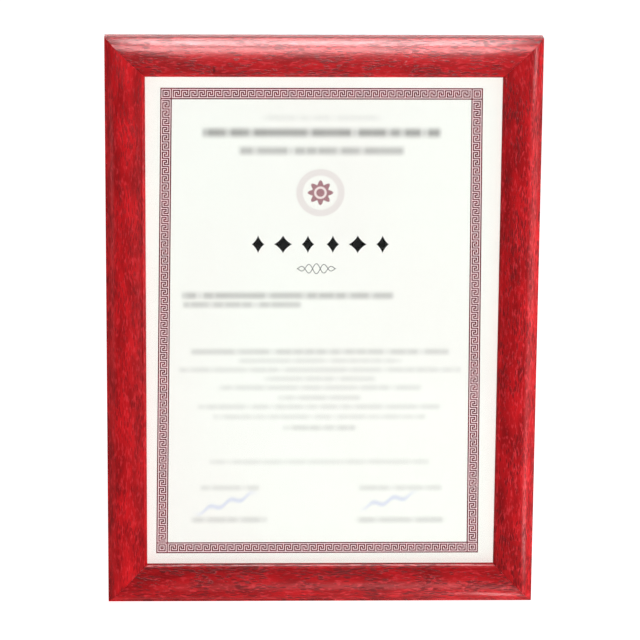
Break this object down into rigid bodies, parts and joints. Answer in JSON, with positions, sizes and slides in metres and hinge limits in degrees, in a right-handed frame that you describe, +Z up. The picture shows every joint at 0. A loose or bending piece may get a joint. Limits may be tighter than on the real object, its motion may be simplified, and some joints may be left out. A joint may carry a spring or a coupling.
{
  "type": "certificate frame",
  "caption": "Free-standing wooden picture frame for an upright A4 certificate: mitred red-stained moulding, glazed front, board back with turn buttons, hanging ring and folding easel strut.",
  "frame": {"origin": "on the surface that the frame stands on, in the middle of its footprint between the standing edge in front and the strut's foot behind", "axes": "+Z up, +X to the right as seen from in front, the face looks along -Y and leans back 12 degrees, the strut stands behind along +Y"},
  "size_m": [0.25, 0.0978, 0.3319],
  "materials": {
    "stained_wood": "red stain under satin lacquer",
    "clear_glass": "clear float glass",
    "printed_paper": "heavy matt paper with a printed border",
    "card": "plain card",
    "hardboard": "smooth brown hardboard",
    "hinge_steel": "zinc plated pressed steel",
    "button_steel": "zinc plated stamped steel",
    "screw_steel": "zinc plated steel",
    "pin_steel": "bright drawn wire",
    "nail_steel": "dull strip steel",
    "brass_rivet": "brassed"
  },
  "bodies": {
    "frame": {"bottom_rail": "stained_wood", "right_rail": "stained_wood", "top_rail": "stained_wood", "left_rail": "stained_wood", "corner_v_nails": "nail_steel", "glass_pane": "clear_glass", "certificate_sheet": "printed_paper", "mount_card": "card", "backing_board": "hardboard", "hinge_plate": "hinge_steel", "hinge_pin": "pin_steel", "hinge_plate_rivets": "brass_rivet", "hanger_strap": "hinge_steel", "hanger_rivet": "brass_rivet", "turn_button_screws": "screw_steel"},
    "strut": {"easel_strut": "hardboard", "hinge_leaf": "hinge_steel", "hinge_leaf_rivets": "brass_rivet"},
    "hanger_ring": {"hanger_ring": "pin_steel"},
    "turn_button_left_upper": {"turn_button_left_upper": "button_steel"},
    "turn_button_left_lower": {"turn_button_left_lower": "button_steel"},
    "turn_button_right_upper": {"turn_button_right_upper": "button_steel"},
    "turn_button_right_lower": {"turn_button_right_lower": "button_steel"},
    "turn_button_top_left": {"turn_button_top_left": "button_steel"},
    "turn_button_top_right": {"turn_button_top_right": "button_steel"},
    "turn_button_bottom_left": {"turn_button_bottom_left": "button_steel"},
    "turn_button_bottom_right": {"turn_button_bottom_right": "button_steel"}
  },
  "joints": [
    {"name": "strut_hinge", "type": "hinge", "parent": "frame", "child": "strut", "pos_m": [0, 0.01078, 0.20983], "axis": [1, 0, 0], "range_deg": [-22, 0]},
    {"name": "ring_swing", "type": "hinge", "parent": "frame", "child": "hanger_ring", "pos_m": [0, 0.02805, 0.29203], "axis": [1, 0, 0], "range_deg": [-15.5, 171.5]},
    {"name": "turn_left_upper", "type": "hinge", "parent": "frame", "child": "turn_button_left_upper", "pos_m": [-0.115, 0.01653, 0.24796], "axis": [0, 0.9781, -0.2079], "range_deg": [-90, 90]},
    {"name": "turn_left_lower", "type": "hinge", "parent": "frame", "child": "turn_button_left_lower", "pos_m": [-0.115, -0.01881, 0.08167], "axis": [0, 0.9781, -0.2079], "range_deg": [-90, 90]},
    {"name": "turn_right_upper", "type": "hinge", "parent": "frame", "child": "turn_button_right_upper", "pos_m": [0.115, 0.01653, 0.24796], "axis": [0, 0.9781, -0.2079], "range_deg": [-90, 90]},
    {"name": "turn_right_lower", "type": "hinge", "parent": "frame", "child": "turn_button_right_lower", "pos_m": [0.115, -0.01881, 0.08167], "axis": [0, 0.9781, -0.2079], "range_deg": [-90, 90]},
    {"name": "turn_top_left", "type": "hinge", "parent": "frame", "child": "turn_button_top_left", "pos_m": [-0.068, 0.03182, 0.31985], "axis": [0, 0.9781, -0.2079], "range_deg": [-90, 90]},
    {"name": "turn_top_right", "type": "hinge", "parent": "frame", "child": "turn_button_top_right", "pos_m": [0.068, 0.03182, 0.31985], "axis": [0, 0.9781, -0.2079], "range_deg": [-90, 90]},
    {"name": "turn_bottom_left", "type": "hinge", "parent": "frame", "child": "turn_button_bottom_left", "pos_m": [-0.068, -0.03409, 0.00978], "axis": [0, 0.9781, -0.2079], "range_deg": [-90, 90]},
    {"name": "turn_bottom_right", "type": "hinge", "parent": "frame", "child": "turn_button_bottom_right", "pos_m": [0.068, -0.03409, 0.00978], "axis": [0, 0.9781, -0.2079], "range_deg": [-90, 90]}
  ]
}
